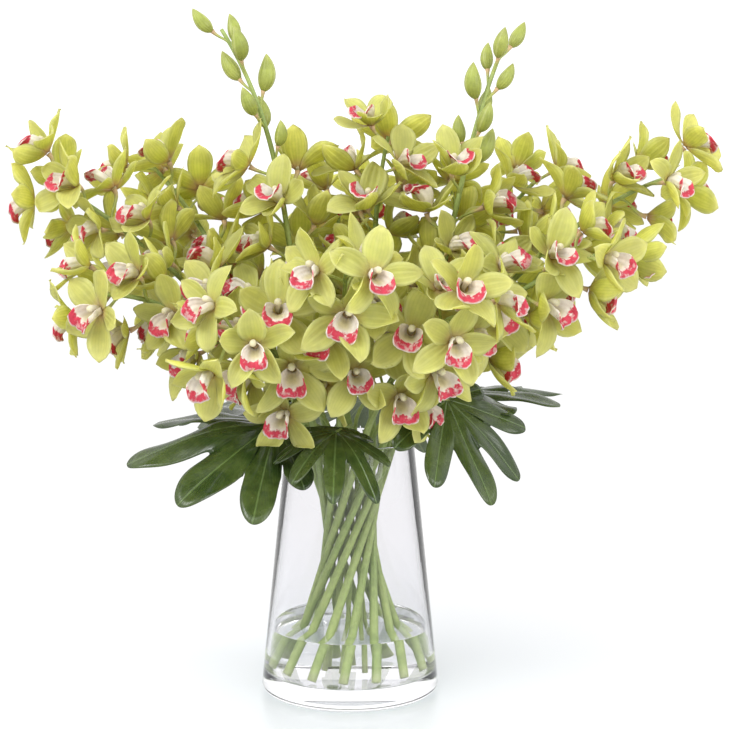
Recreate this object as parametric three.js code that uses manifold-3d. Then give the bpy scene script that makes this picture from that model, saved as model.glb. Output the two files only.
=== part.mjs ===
// A bouquet of cut cymbidium orchids: thirteen flower spikes and six lobed leaves standing in a tapered glass
// vase with a little water. Millimetres, +Z up. The origin is the centre of the vase's underside, -Y is the
// front and +X the right-hand side.
import * as THREE from "three";
import { mergeVertices } from "three/addons/utils/BufferGeometryUtils.js";
import Module from "manifold-3d";

const wasm = await Module();
wasm.setup();

const DEG = Math.PI / 180;
const V = (x, y, z) => new THREE.Vector3(x, y, z);
const UP = V(0, 0, 1);

// ---- Driving dimensions -----------------------------------------------------------------------------------

const VASE = { height: 255, baseRadius: 88, rimRadius: 63, wall: 3.6, floor: 22, corner: 10, sides: 32 };
const WATER_LEVEL = 66; // above the surface that the vase stands on
const aboveRim = (x, y, z) => V(x, y, VASE.height + z);
const GAP = 0.4; // left between separate pieces
const STEM = { footRadius: 4.4, rimRadius: 3.6, tipRadius: 1.9, sides: 6, steps: 9 };
const PEDICEL = { length: 40, tipLength: 26, radius: 1.4, lean: 52 * DEG, sides: 4, longest: 58 };
const PETIOLE = { radius: 2.3, sides: 5, steps: 8 };

// The stems cross in the neck as a hand-turned spiral: every stem runs from its foot near the wall to the
// opposite side of the rim, turned by the same angle, so that no two of them meet.
const SPIRAL = { footInset: 19, rimInset: 7.5, turn: 132 * DEG, firstHeading: 286 * DEG, above: 8 };

// One bloom: five tepals about a hub, and a lip.
const BLOOM = {
  reach: 45, // hub to tepal tip
  shoulder: { at: 0.58, half: 28 * DEG },
  notch: 0.24,
  shut: 46 * DEG, // how steeply the tepals of the least and the most open bloom rise
  flat: 14 * DEG,
  thick: 2, // from the hub to either face
  spacing: 47, // nearest that two hubs come
  clearOfStems: 30,
  lowest: 13, // above the rim, as is the next
  lowestHub: 43,
  slide: 0.8, // how far a crowded tepal turns forward instead of sideways
};
const LIP = { length: 25, width: 17, depth: 11 };
const BUD = { length: 37, width: 17, sides: 6, rings: 5 };

// Spikes in the order of their headings. tip is the point that each one reaches, its height counted from the
// vase's rim, bend is how far its arch bows from the straight line, and start is where along it the first
// bloom sits.
const SPIKES = [
  { name: "front_right", tip: [106, -172, 143], bend: [0, -10, 42], start: 0.16, blooms: 13, buds: 0 },
  { name: "lower_right", tip: [240, -102, 193], bend: [0, -10, 46], start: 0.22, blooms: 14, buds: 0 },
  { name: "far_right", tip: [318, -10, 259], bend: [6, 0, 68], start: 0.25, blooms: 17, buds: 0 },
  { name: "right_budding", tip: [148, 22, 379], bend: [-14, 0, 10], start: 0.28, blooms: 9, buds: 9 },
  { name: "back_right", tip: [192, 128, 247], bend: [0, 0, 36], start: 0.24, blooms: 14, buds: 0 },
  { name: "centre", tip: [38, 44, 295], bend: [-14, 0, 12], start: 0.26, blooms: 13, buds: 0 },
  { name: "back", tip: [-14, 172, 225], bend: [0, 0, 30], start: 0.22, blooms: 11, buds: 0 },
  { name: "left_budding", tip: [-124, 14, 399], bend: [48, -16, 0], start: 0.26, blooms: 9, buds: 8 },
  { name: "back_left", tip: [-205, 124, 263], bend: [0, 0, 36], start: 0.24, blooms: 14, buds: 0 },
  { name: "far_left", tip: [-292, 0, 253], bend: [-8, 0, 44], start: 0.25, blooms: 17, buds: 0 },
  { name: "lower_left", tip: [-240, -96, 151], bend: [0, -10, 60], start: 0.22, blooms: 15, buds: 0 },
  { name: "front_left", tip: [-110, -168, 121], bend: [0, -10, 56], start: 0.16, blooms: 12, buds: 0 },
  { name: "front", tip: [-2, -176, 181], bend: [0, -14, 42], start: 0.2, blooms: 10, buds: 0 },
];

// Leaves: the gap between stems that the petiole passes through, where the blade's hub is, its height counted
// from the rim, the blade's size, how far it falls towards the lobe tips, how far its left side droops from its
// middle line, how steeply it leaves the petiole, and its lean to one side.
const LEAVES = [
  { name: "left", slot: 10, hub: [-70, -50, 23], size: 140,
    fall: 32, droop: 0.46, slope: 2, roll: -10, heading: 190 },
  { name: "front", slot: 12, hub: [-12, -84, 21], size: 76,
    fall: 32, droop: 0.1, slope: -16, roll: -4, heading: 268 },
  { name: "right", slot: 1, hub: [94, -56, 47], size: 104,
    fall: 12, droop: 0.1, slope: -52, roll: 4, heading: 306 },
  { name: "back_right", slot: 3, hub: [98, 58, 35], size: 132,
    fall: 26, droop: 0.2, slope: 10, roll: 0, heading: 14 },
  { name: "back", slot: 5, hub: [20, 96, 24], size: 104,
    fall: 54, droop: 0.1, slope: -24, roll: 0, heading: 84 },
  { name: "back_left", slot: 7, hub: [-70, 82, 29], size: 126,
    fall: 44, droop: 0.2, slope: 0, roll: 6, heading: 132 },
];
const LEAF = { lobes: 7, spread: 104 * DEG, backLobe: 0.5, sinus: 0.44, lobeHalf: 0.122, thick: 1.4, edge: 0.5 };

const MATERIAL = {
  glass: { color: 0xf2f7f8, roughness: 0.03, metalness: 0, transparent: true, opacity: 0.3 },
  water: { color: 0xe6f0f0, roughness: 0.02, metalness: 0, transparent: true, opacity: 0.4 },
  stem: { color: 0x6f8a3c, roughness: 0.6, metalness: 0 },
  flowers: { color: 0xb9c848, roughness: 0.55, metalness: 0 },
  leaf: { color: 0x2f4f22, roughness: 0.35, metalness: 0 },
};

// ---- Solids -----------------------------------------------------------------------------------------------

// A closed geometry as a solid that can be joined and cut.
function solid(geometry) {
  const bare = geometry.clone();
  for (const name of Object.keys(bare.attributes)) if (name !== "position") bare.deleteAttribute(name);
  const merged = mergeVertices(bare, 1e-3);
  return new wasm.Manifold(
    new wasm.Mesh({
      numProp: 3,
      vertProperties: new Float32Array(merged.attributes.position.array),
      triVerts: new Uint32Array(merged.index.array),
    }),
  );
}

function join(solids) {
  return solids.reduce((whole, piece) => whole.add(piece));
}

// The biggest body of a solid: what a cut parts from it is left off.
function mainBody(whole) {
  return whole.decompose().reduce((best, body) => (body.volume() > best.volume() ? body : best));
}

function cutBy(whole, pieces) {
  return mainBody(pieces.reduce((left, piece) => left.subtract(piece), whole));
}

function meshOf(name, whole, material) {
  const made = whole.getMesh();
  const geometry = new THREE.BufferGeometry();
  const places = new Float32Array(made.numVert * 3);
  for (let i = 0; i < made.numVert; i++) {
    const from = i * made.numProp;
    places.set(made.vertProperties.subarray(from, from + 3), i * 3);
  }
  geometry.setAttribute("position", new THREE.BufferAttribute(places, 3));
  geometry.setIndex(new THREE.BufferAttribute(new Uint32Array(made.triVerts), 1));
  geometry.computeVertexNormals();
  const mesh = new THREE.Mesh(geometry, new THREE.MeshStandardMaterial(material));
  mesh.name = name;
  return mesh;
}

// A tube that tapers along a curve: a cylinder whose rings are carried onto the curve's own frames.
function taperedTube(curve, startRadius, endRadius, sides, steps) {
  const geometry = new THREE.CylinderGeometry(endRadius, startRadius, 1, sides, steps);
  const frames = curve.computeFrenetFrames(steps);
  const place = geometry.attributes.position;
  for (let i = 0; i < place.count; i++) {
    const ring = Math.round((place.getY(i) + 0.5) * steps);
    const point = curve.getPointAt(ring / steps);
    point.addScaledVector(frames.normals[ring], place.getX(i));
    point.addScaledVector(frames.binormals[ring], -place.getZ(i));
    place.setXYZ(i, point.x, point.y, point.z);
  }
  return solid(geometry);
}

// A closed skin over a row of rings, each a loop of points about the same axis and a single point at each
// end. Where two rings differ in number, each point of the smaller one meets an even share of the larger.
// Each pair is joined along the same diagonal on both sides of the widest ring, so that the two faces of a
// thin piece run side by side.
function skinned(rings, widest) {
  const starts = rings.map((_, r) => rings.slice(0, r).reduce((sum, ring) => sum + ring.length, 0));
  const faces = [];
  for (let r = 0; r + 1 < rings.length; r++) {
    const [m, n] = [rings[r].length, rings[r + 1].length];
    const most = Math.max(m, n);
    for (let i = 0; i < most; i++) {
      const next = (i + 1) % most;
      const [a, b] = [i, next].map((k) => starts[r] + Math.floor((k * m) / most));
      const [c, d] = [i, next].map((k) => starts[r + 1] + Math.floor((k * n) / most));
      const [first, second] = r < widest ? [a, d] : [b, c];
      if (c !== d) faces.push(first, d, c);
      if (a !== b) faces.push(a, b, second);
    }
  }
  const geometry = new THREE.BufferGeometry().setFromPoints(rings.flat());
  geometry.setIndex(faces);
  return solid(geometry);
}

// A repeatable number from 0 to 1 for each whole number.
function chance(n) {
  const wave = Math.sin(n * 127.1 + 11.7) * 43758.5453;
  return wave - Math.floor(wave);
}

// ---- Where the stems run ----------------------------------------------------------------------------------

const innerRadiusAt = (z) =>
  VASE.baseRadius + (VASE.rimRadius - VASE.baseRadius) * (z / VASE.height) - VASE.wall;

function ringPoint(radius, angle, z) {
  return V(radius * Math.cos(angle), radius * Math.sin(angle), z);
}

// The straight run of a stem through the vase, for a place in the spiral.
function stemRun(slot) {
  const heading = SPIRAL.firstHeading + (slot * 2 * Math.PI) / SPIKES.length;
  const footZ = VASE.floor + 2 * GAP + STEM.footRadius * 0.5;
  const foot = ringPoint(innerRadiusAt(footZ) - SPIRAL.footInset, heading - SPIRAL.turn, footZ);
  const rimZ = VASE.height + SPIRAL.above;
  const rim = ringPoint(innerRadiusAt(VASE.height) - SPIRAL.rimInset, heading, rimZ);
  return { foot, rim, along: rim.clone().sub(foot).normalize() };
}

// The arching part of a spike, from the rim to its tip.
function archOf(spike, slot) {
  const { rim, along } = stemRun(slot);
  const tip = aboveRim(...spike.tip);
  const length = rim.distanceTo(tip);
  const rising = rim.clone().addScaledVector(along, 0.33 * length);
  const bend = rim.clone().lerp(tip, 0.68).add(V(...spike.bend));
  return new THREE.CubicBezierCurve3(rim, rising, bend, tip);
}

// Any two directions square to an axis.
function squareTo(axis) {
  const side = V(0, 1, 0).cross(axis).normalize();
  return [side, axis.clone().cross(side)];
}

// The place of each bloom or bud along a spike, in turns of the golden angle.
const GOLDEN_ANGLE = 137.5 * DEG;
function stationsOf(spike, slot) {
  const arch = archOf(spike, slot);
  const count = spike.blooms + spike.buds;
  return Array.from({ length: count }, (_, k) => {
    const share = (k + 0.5) / count;
    const t = spike.start + (0.985 - spike.start) * share;
    const from = arch.getPoint(t);
    const axis = arch.getTangent(t);
    const [side, over] = squareTo(axis);
    const turn = slot * 1.3 + k * GOLDEN_ANGLE;
    const out = side.multiplyScalar(Math.cos(turn)).addScaledVector(over, Math.sin(turn));
    const isBud = k >= spike.blooms;
    const lean = isBud ? PEDICEL.lean * 0.5 : PEDICEL.lean;
    const way = axis.clone().multiplyScalar(Math.cos(lean)).addScaledVector(out, Math.sin(lean));
    const reach = THREE.MathUtils.lerp(PEDICEL.length, PEDICEL.tipLength, isBud ? 1.3 : share);
    const hub = from.clone().addScaledVector(way, reach);
    return { spike: slot, order: k, isBud, from, axis, way, hub, seed: slot * 40 + k };
  });
}

const arches = SPIKES.map(archOf);
const stations = SPIKES.flatMap(stationsOf);
const blooms = stations.filter((s) => !s.isBud);

// Points along the flowering part of every spike, which blooms of other spikes keep away from.
const rachisPoints = arches.flatMap((arch, slot) =>
  arch.getPoints(14).map((point) => ({ slot, point })),
);

// Hubs move apart until none crowds another: all moves of one round are worked out before any is made.
const ROUNDS = 60;
function spreadHubs() {
  for (let round = 0; round < ROUNDS; round++) {
    const moves = blooms.map(() => V(0, 0, 0));
    blooms.forEach((a, i) => {
      blooms.forEach((b, j) => {
        if (i === j) return;
        const away = a.hub.clone().sub(b.hub);
        const near = away.length();
        if (near < BLOOM.spacing) moves[i].addScaledVector(away, (0.25 * (BLOOM.spacing - near)) / near);
      });
      for (const { slot, point } of rachisPoints) {
        if (slot === a.spike) continue;
        const away = a.hub.clone().sub(point);
        const near = away.length();
        if (near < BLOOM.clearOfStems) {
          moves[i].addScaledVector(away, (0.2 * (BLOOM.clearOfStems - near)) / near);
        }
      }
    });
    blooms.forEach((bloom, i) => {
      bloom.hub.add(moves[i]);
      bloom.hub.z = Math.max(bloom.hub.z, VASE.height + BLOOM.lowestHub);
      const reach = bloom.hub.clone().sub(bloom.from);
      if (reach.length() > PEDICEL.longest) bloom.hub.copy(bloom.from).add(reach.setLength(PEDICEL.longest));
    });
  }
}
spreadHubs();

// Each bloom faces away from its stem and from the middle of the bouquet, with its lip lowest.
const MIDDLE = aboveRim(0, 0, 105);
for (const bloom of blooms) {
  const fromStem = bloom.hub.clone().sub(bloom.from).normalize();
  const fromMiddle = bloom.hub.clone().sub(MIDDLE).normalize();
  const facing = fromStem.multiplyScalar(0.8).addScaledVector(fromMiddle, 0.75);
  facing.z = facing.z * 0.75 - 0.05;
  bloom.facing = facing.normalize();
  const upright = UP.clone().addScaledVector(bloom.facing, -bloom.facing.z).normalize();
  const right = upright.clone().cross(bloom.facing);
  const tilt = (chance(bloom.seed) - 0.5) * 50 * DEG;
  bloom.upright = upright.multiplyScalar(Math.cos(tilt)).addScaledVector(right, Math.sin(tilt));
  bloom.right = bloom.upright.clone().cross(bloom.facing);
  bloom.open = 0.25 + 0.75 * chance(bloom.seed + 500);
  bloom.size = 0.9 + 0.16 * chance(bloom.seed + 900) - 0.1 * (bloom.order / 15);
}

// The planes half-way to the blooms around one bloom, and the level that none goes below.
function wallsOf(bloom) {
  const walls = blooms
    .filter((other) => other !== bloom && other.hub.distanceTo(bloom.hub) < 2.3 * BLOOM.reach)
    .map((other) => {
      const normal = other.hub.clone().sub(bloom.hub);
      const room = normal.length() / 2 - GAP;
      return { normal: normal.normalize(), room };
    });
  walls.push({ normal: V(0, 0, -1), room: bloom.hub.z - (VASE.height + BLOOM.lowest) });
  return walls;
}

// A point of a bloom, kept on its own side of every wall: it first turns forward, and then draws in.
function keptIn(point, bloom, walls) {
  const arm = point.sub(bloom.hub);
  for (const { normal, room } of walls) {
    const over = arm.dot(normal) - room;
    if (over > 0) arm.addScaledVector(normal, -over).addScaledVector(bloom.facing, over * BLOOM.slide);
  }
  const share = walls.reduce((least, w) => Math.min(least, w.room / Math.max(arm.dot(w.normal), w.room)), 1);
  return arm.multiplyScalar(share).add(bloom.hub);
}

function placed(bloom, x, y, z) {
  return bloom.hub
    .clone()
    .addScaledVector(bloom.right, x)
    .addScaledVector(bloom.upright, y)
    .addScaledVector(bloom.facing, z);
}

// ---- Pieces -----------------------------------------------------------------------------------------------

// The straight part of a stem, from its foot to the rim.
function stemSolid(slot, grow = 0) {
  const { foot, rim, along } = stemRun(slot);
  const line = new THREE.LineCurve3(
    foot.clone().addScaledVector(along, -grow),
    rim.clone().addScaledVector(along, grow - GAP),
  );
  return taperedTube(line, STEM.footRadius + grow, STEM.rimRadius + grow, STEM.sides, 1);
}

// The arching part that carries the blooms.
function rachisSolid(slot, grow = 0) {
  return taperedTube(arches[slot], STEM.rimRadius + grow, STEM.tipRadius + grow, STEM.sides, STEM.steps);
}

// A straight pedicel by itself, for a bud and for what others are cut clear of.
function pedicelSolid(station, grow = 0) {
  const { from, hub } = station;
  const radius = PEDICEL.radius + grow;
  return taperedTube(new THREE.LineCurve3(from, hub), radius, radius, PEDICEL.sides, 1);
}

// A loop of points about an axis, square to the two directions given.
function loop(centre, right, up, halfWidth, halfHeight) {
  return Array.from({ length: PEDICEL.sides }, (_, k) => {
    const a = 54 * DEG + (k * 2 * Math.PI) / PEDICEL.sides;
    return centre
      .clone()
      .addScaledVector(right, halfWidth * Math.cos(a))
      .addScaledVector(up, halfHeight * Math.sin(a));
  });
}

// A bloom as one skin: the pedicel, the star of tepals cupped towards the front, and the lip that leans
// forward and down from the hub.
function bloomSolid(bloom) {
  const walls = wallsOf(bloom);
  const reach = BLOOM.reach * bloom.size;
  const steepness = THREE.MathUtils.lerp(BLOOM.shut, BLOOM.flat, bloom.open);
  const out = (angle, share) => {
    const rise = steepness * (0.65 + 0.35 * share);
    const r = reach * share * Math.cos(rise);
    const point = placed(bloom, r * Math.cos(angle), r * Math.sin(angle), reach * share * Math.sin(rise));
    return keptIn(point, bloom, walls);
  };
  const { at, half } = BLOOM.shoulder;
  const outline = [];
  for (let k = 0; k < 5; k++) {
    const middle = (90 + 72 * k) * DEG;
    outline.push(out(middle - 36 * DEG, BLOOM.notch), out(middle - half, at));
    outline.push(out(middle, 1), out(middle + half, at));
  }
  const { right, upright, hub, from, facing } = bloom;
  const { length, width, depth } = LIP;
  const end = hub.clone().addScaledVector(facing, -BLOOM.thick);
  const way = end.clone().sub(from).normalize();
  const across = upright.clone().cross(way).normalize();
  const over = way.clone().cross(across);
  const radius = PEDICEL.radius;
  return skinned([
    [from],
    loop(from, across, over, radius, radius),
    loop(end, right, upright, 0.6 * radius, 0.6 * radius),
    outline,
    loop(placed(bloom, 0, 0, BLOOM.thick), right, upright, 0.6 * radius, 0.6 * radius),
    loop(placed(bloom, 0, -0.3 * length, 0.6 * length), right, upright, 0.5 * width, 0.5 * depth),
    [placed(bloom, 0, -0.6 * length, 0.9 * length)],
  ].map((ring, r) => (r < 3 ? ring : ring.map((point) => keptIn(point, bloom, walls)))), 3);
}

function budSolid(station, grow = 0) {
  const { hub, way, seed } = station;
  const size = 0.72 + 0.3 * chance(seed);
  const geometry = new THREE.SphereGeometry(0.5, BUD.sides, BUD.rings);
  const axis = way.clone().addScaledVector(UP, 0.35).normalize();
  const turn = new THREE.Quaternion().setFromUnitVectors(V(0, 1, 0), axis);
  geometry.scale(BUD.width * size + 2 * grow, BUD.length * size + 2 * grow, BUD.width * size + 2 * grow);
  geometry.translate(0, BUD.length * size * 0.44, 0);
  geometry.applyQuaternion(turn);
  geometry.translate(hub.x, hub.y, hub.z);
  return solid(geometry);
}

// A leaf's outline about its hub: finger lobes spread round the forward direction, longest at the front.
function leafSolid(leaf, grow = 0) {
  const heading = leaf.heading * DEG;
  const slope = leaf.slope * DEG;
  const forward = V(Math.cos(heading) * Math.cos(slope), Math.sin(heading) * Math.cos(slope), Math.sin(slope));
  const side = UP.clone().cross(forward).normalize();
  side.multiplyScalar(Math.cos(leaf.roll * DEG)).addScaledVector(UP, Math.sin(leaf.roll * DEG));
  const face = forward.clone().cross(side).normalize();
  const hub = aboveRim(...leaf.hub);
  const point = (angle, reach, lift) => {
    const p = hub.clone();
    p.addScaledVector(forward, reach * Math.cos(angle)).addScaledVector(side, reach * Math.sin(angle));
    p.addScaledVector(face, lift);
    p.z -= leaf.fall * (reach / leaf.size) ** 2 + leaf.droop * Math.max(0, reach * Math.sin(angle));
    return p;
  };
  const half = LEAF.thick / 2 + grow;
  const edge = LEAF.edge / 2 + grow;
  const outline = [];
  for (let k = 0; k < LEAF.lobes; k++) {
    const place = (2 * k) / (LEAF.lobes - 1) - 1;
    const middle = place * LEAF.spread;
    const vary = 0.92 + 0.16 * chance(k + leaf.size);
    const length = leaf.size * (1 - (1 - LEAF.backLobe) * place * place) * vary;
    const gap = LEAF.spread / (LEAF.lobes - 1);
    // Each lobe runs at its full width to near the end, where it is blunt.
    const rim = [[1, 0.62], [0.92, 0.86], [0.4, 1]].map(([width, share]) => {
      const wide = LEAF.lobeHalf * width * leaf.size + grow;
      return [Math.min(0.86 * gap, Math.asin(Math.min(0.9, wide / (share * length)))), share * length];
    });
    outline.push(...rim.map(([half, reach]) => [middle - half, reach]));
    outline.push(...rim.reverse().map(([half, reach]) => [middle + half, reach]));
    outline.push([middle + gap, leaf.size * LEAF.sinus * (1 - 0.25 * Math.abs(place))]);
  }
  const ring = (share, lift) => outline.map(([angle, reach]) => point(angle, share * reach, lift));
  return skinned([
    [point(0, 0, -half)],
    ring(0.5, -half),
    outline.map(([angle, reach]) => point(angle, reach + grow, -edge)),
    outline.map(([angle, reach]) => point(angle, reach + grow, edge)),
    ring(0.5, half),
    [point(0, 0, half)],
  ], 3);
}

// A petiole stands in the middle of the bundle and turns out between two stems above the rim.
function petioleSolid(leaf, grow = 0) {
  const gapHeading = SPIRAL.firstHeading + ((leaf.slot + 0.5) * 2 * Math.PI) / SPIKES.length;
  const footZ = VASE.floor + 3 * GAP + PETIOLE.radius;
  const curve = new THREE.CatmullRomCurve3([
    ringPoint(20, gapHeading - SPIRAL.turn, footZ - grow),
    ringPoint(9, gapHeading - SPIRAL.turn * 0.45, 0.66 * VASE.height),
    ringPoint(25, gapHeading, VASE.height - 2),
    ringPoint(48, gapHeading, VASE.height + 20),
    aboveRim(...leaf.hub),
  ]);
  const radius = PETIOLE.radius + grow;
  return taperedTube(curve, radius, radius * 0.8, PETIOLE.sides, PETIOLE.steps);
}

function turned(profile) {
  const points = profile.map(([r, z]) => new THREE.Vector2(r, z));
  return solid(new THREE.LatheGeometry(points, VASE.sides).rotateX(Math.PI / 2));
}

function arcPoints(cx, cz, radius, from, to, steps) {
  return Array.from({ length: steps + 1 }, (_, i) => {
    const a = (from + ((to - from) * i) / steps) * DEG;
    return [cx + radius * Math.cos(a), cz + radius * Math.sin(a)];
  });
}

function vaseSolid() {
  const { height, baseRadius, rimRadius, wall, floor, corner } = VASE;
  const lip = wall / 2;
  return turned([
    [0, 0],
    ...arcPoints(baseRadius - corner, corner, corner, -90, 0, 2),
    ...arcPoints(rimRadius - lip, height - lip, lip, 0, 180, 3),
    ...arcPoints(innerRadiusAt(floor) - corner / 2, floor + corner / 2, corner / 2, 0, -90, 2),
    [0, floor],
  ]);
}

function waterSolid(pieces) {
  const bottom = VASE.floor + GAP;
  const round = VASE.corner / 2;
  const edge = innerRadiusAt(VASE.floor) - round;
  const whole = turned([
    [0, bottom],
    ...arcPoints(edge, VASE.floor + round, round - GAP, -90, 0, 2),
    [innerRadiusAt(WATER_LEVEL) - 1.5 * GAP, WATER_LEVEL],
    [0, WATER_LEVEL],
  ]);
  return cutBy(whole, pieces);
}

// ---- The bouquet ------------------------------------------------------------------------------------------

const bouquet = new THREE.Group();

const stems = SPIKES.map((_, slot) => stemSolid(slot));
const grownStems = SPIKES.map((_, slot) => stemSolid(slot, GAP));
const grownRachises = SPIKES.map((_, slot) => rachisSolid(slot, GAP));
const allGrownStems = join([...grownStems, ...grownRachises]);

const grownLeaves = LEAVES.map((leaf) => leafSolid(leaf, 3 * GAP));
const allGrownLeaves = join(grownLeaves);
const grownPetioles = LEAVES.map((leaf) => petioleSolid(leaf, GAP));
const allGrownPetioles = join(grownPetioles);

const stationsOn = (slot) => stations.filter((s) => s.spike === slot);
const grownPedicels = SPIKES.map((_, slot) => join(stationsOn(slot).map((s) => pedicelSolid(s, GAP))));
const others = (pieces, slot) => join(pieces.filter((_, other) => other !== slot));

SPIKES.forEach((spike, slot) => {
  const heads = join(
    stationsOn(slot).map((s) => (s.isBud ? budSolid(s).add(pedicelSolid(s)) : bloomSolid(s))),
  );
  const clear = heads
    .subtract(others(grownRachises, slot))
    .subtract(others(grownPedicels, slot))
    .subtract(allGrownLeaves);
  const flowers = cutBy(rachisSolid(slot).add(clear), [allGrownPetioles]);
  bouquet.add(meshOf(`stem_${spike.name}`, stems[slot], MATERIAL.stem));
  bouquet.add(meshOf(`flowers_${spike.name}`, flowers, MATERIAL.flowers));
});

LEAVES.forEach((leaf, i) => {
  const blade = cutBy(leafSolid(leaf), [allGrownStems, ...grownLeaves.slice(0, i)]);
  const petiole = cutBy(petioleSolid(leaf), [allGrownStems, allGrownLeaves, ...grownPetioles.slice(0, i)]);
  bouquet.add(meshOf(`leaf_${leaf.name}`, blade, MATERIAL.leaf));
  bouquet.add(meshOf(`petiole_${leaf.name}`, petiole, MATERIAL.stem));
});

bouquet.add(meshOf("vase", vaseSolid(), MATERIAL.glass));
bouquet.add(meshOf("water", waterSolid([...grownStems, ...grownPetioles]), MATERIAL.water));

export default bouquet;
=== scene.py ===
"""A bouquet of green cymbidium orchids and lobed leaves, in a tapered glass vase with a little water.

The spikes, blooms, buds and leaves are numpy surfaces. Lengths in the functions are millimetres until
make_piece carries them over to metres. The origin is the centre of the vase's underside, -Y is the front.
"""

import math

import bpy
import numpy as np
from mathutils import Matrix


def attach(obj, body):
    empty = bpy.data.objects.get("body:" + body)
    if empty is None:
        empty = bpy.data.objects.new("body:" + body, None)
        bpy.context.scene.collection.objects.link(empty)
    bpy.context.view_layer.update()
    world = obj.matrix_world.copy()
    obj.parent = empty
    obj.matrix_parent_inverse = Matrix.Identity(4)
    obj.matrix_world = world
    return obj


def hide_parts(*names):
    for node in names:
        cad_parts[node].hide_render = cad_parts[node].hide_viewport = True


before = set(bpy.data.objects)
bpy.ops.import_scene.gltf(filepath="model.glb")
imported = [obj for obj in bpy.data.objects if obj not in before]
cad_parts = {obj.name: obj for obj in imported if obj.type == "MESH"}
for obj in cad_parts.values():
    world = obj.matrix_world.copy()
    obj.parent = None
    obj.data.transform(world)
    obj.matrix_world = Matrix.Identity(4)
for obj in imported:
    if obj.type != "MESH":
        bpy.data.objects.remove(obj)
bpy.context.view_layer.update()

MM = 0.001
DEG = math.pi / 180
UP = np.array([0.0, 0.0, 1.0])

# ---- Driving dimensions -----------------------------------------------------------------------------------
# The layout is the solid model's. A bloom's steepest tepals, its lip, and the leaves' lobes have sizes of their
# own, since these thin surfaces are more cupped and a little wider than the solids.

VASE = dict(height=255, base=88, rim=63, wall=3.6, floor=22, corner=10)
WATER_LEVEL = 66
GAP = 0.4
STEM = dict(foot=4.4, rim=3.6, tip=1.9)
PEDICEL = dict(length=40, tip_length=26, lean=52 * DEG, longest=58)
SPIRAL = dict(foot_inset=19, rim_inset=7.5, turn=132 * DEG, first=286 * DEG, above=8)
BLOOM = dict(reach=45, shut=58 * DEG, flat=14 * DEG, spacing=47, clear=30, lowest=268, lowest_hub=298)
LIP = dict(length=29, radius=10.5)
BUD = dict(length=37, width=17)
GOLDEN_ANGLE = 137.5 * DEG

# Spikes in the order of their headings: the point each reaches, how far its arch bows from the straight
# line, where along it the first bloom sits, and how many blooms and buds it has.
SPIKES = [
    dict(name="front_right", tip=(106, -172, 398), bend=(0, -10, 42), start=0.16, blooms=13, buds=0),
    dict(name="lower_right", tip=(240, -102, 448), bend=(0, -10, 46), start=0.22, blooms=14, buds=0),
    dict(name="far_right", tip=(318, -10, 514), bend=(6, 0, 68), start=0.25, blooms=17, buds=0),
    dict(name="right_budding", tip=(148, 22, 634), bend=(-14, 0, 10), start=0.28, blooms=9, buds=9),
    dict(name="back_right", tip=(192, 128, 502), bend=(0, 0, 36), start=0.24, blooms=14, buds=0),
    dict(name="centre", tip=(38, 44, 550), bend=(-14, 0, 12), start=0.26, blooms=13, buds=0),
    dict(name="back", tip=(-14, 172, 480), bend=(0, 0, 30), start=0.22, blooms=11, buds=0),
    dict(name="left_budding", tip=(-124, 14, 654), bend=(48, -16, 0), start=0.26, blooms=9, buds=8),
    dict(name="back_left", tip=(-205, 124, 518), bend=(0, 0, 36), start=0.24, blooms=14, buds=0),
    dict(name="far_left", tip=(-292, 0, 508), bend=(-8, 0, 44), start=0.25, blooms=17, buds=0),
    dict(name="lower_left", tip=(-240, -96, 406), bend=(0, -10, 60), start=0.22, blooms=15, buds=0),
    dict(name="front_left", tip=(-110, -168, 376), bend=(0, -10, 56), start=0.16, blooms=12, buds=0),
    dict(name="front", tip=(-2, -176, 436), bend=(0, -14, 42), start=0.2, blooms=10, buds=0),
]

# Leaves: the gap between stems that the petiole leaves through, the blade's hub and size, how far it falls
# towards the tips of its lobes, how far its left side droops, how steeply it leaves the petiole, its lean to
# one side, and its heading.
LEAVES = [
    dict(name="left", slot=10, hub=(-70, -50, 278), size=140,
         fall=32, droop=0.46, slope=2, roll=-10, heading=190),
    dict(name="front", slot=12, hub=(-12, -84, 276), size=76,
         fall=32, droop=0.1, slope=-16, roll=-4, heading=268),
    dict(name="right", slot=1, hub=(94, -56, 302), size=104,
         fall=12, droop=0.1, slope=-52, roll=4, heading=306),
    dict(name="back_right", slot=3, hub=(98, 58, 290), size=132,
         fall=26, droop=0.2, slope=10, roll=0, heading=14),
    dict(name="back", slot=5, hub=(20, 96, 279), size=104,
         fall=54, droop=0.1, slope=-24, roll=0, heading=84),
    dict(name="back_left", slot=7, hub=(-70, 82, 284), size=126,
         fall=44, droop=0.2, slope=0, roll=6, heading=132),
]
LEAF = dict(lobes=7, spread=104 * DEG, back_lobe=0.5, sinus=0.48, lobe_half=0.134, thick=0.9)
PETIOLE_RADIUS = 2.3


# ---- Small helpers ----------------------------------------------------------------------------------------


def unit(v):
    """Each vector over its own length."""
    return v / np.maximum(np.linalg.norm(v, axis=-1, keepdims=True), 1e-12)


def dot(a, b):
    """The last axes multiplied and summed, with that axis kept."""
    return (a * b).sum(-1, keepdims=True)


def mix(a, b, share):
    return a + (b - a) * share


def smooth(low, high, x):
    """0 below low, 1 above high, and 3t^2 - 2t^3 between."""
    t = np.clip((x - low) / (high - low), 0, 1)
    return t * t * (3 - 2 * t)


def chance(n):
    """A repeatable number from 0 to 1 for each n: the fraction left of a very large sine."""
    wave = np.sin(n * 127.1 + 11.7) * 43758.5453
    return wave - np.floor(wave)


def bezier(control, t):
    """Cubic Bezier points. control is (..., 4, 3), and t is a row of shares of the way."""
    t = np.asarray(t, float)[:, None]
    c = [control[..., None, k, :] for k in range(4)]
    return (1 - t) ** 3 * c[0] + 3 * (1 - t) ** 2 * t * c[1] + 3 * (1 - t) * t * t * c[2] + t**3 * c[3]


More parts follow.
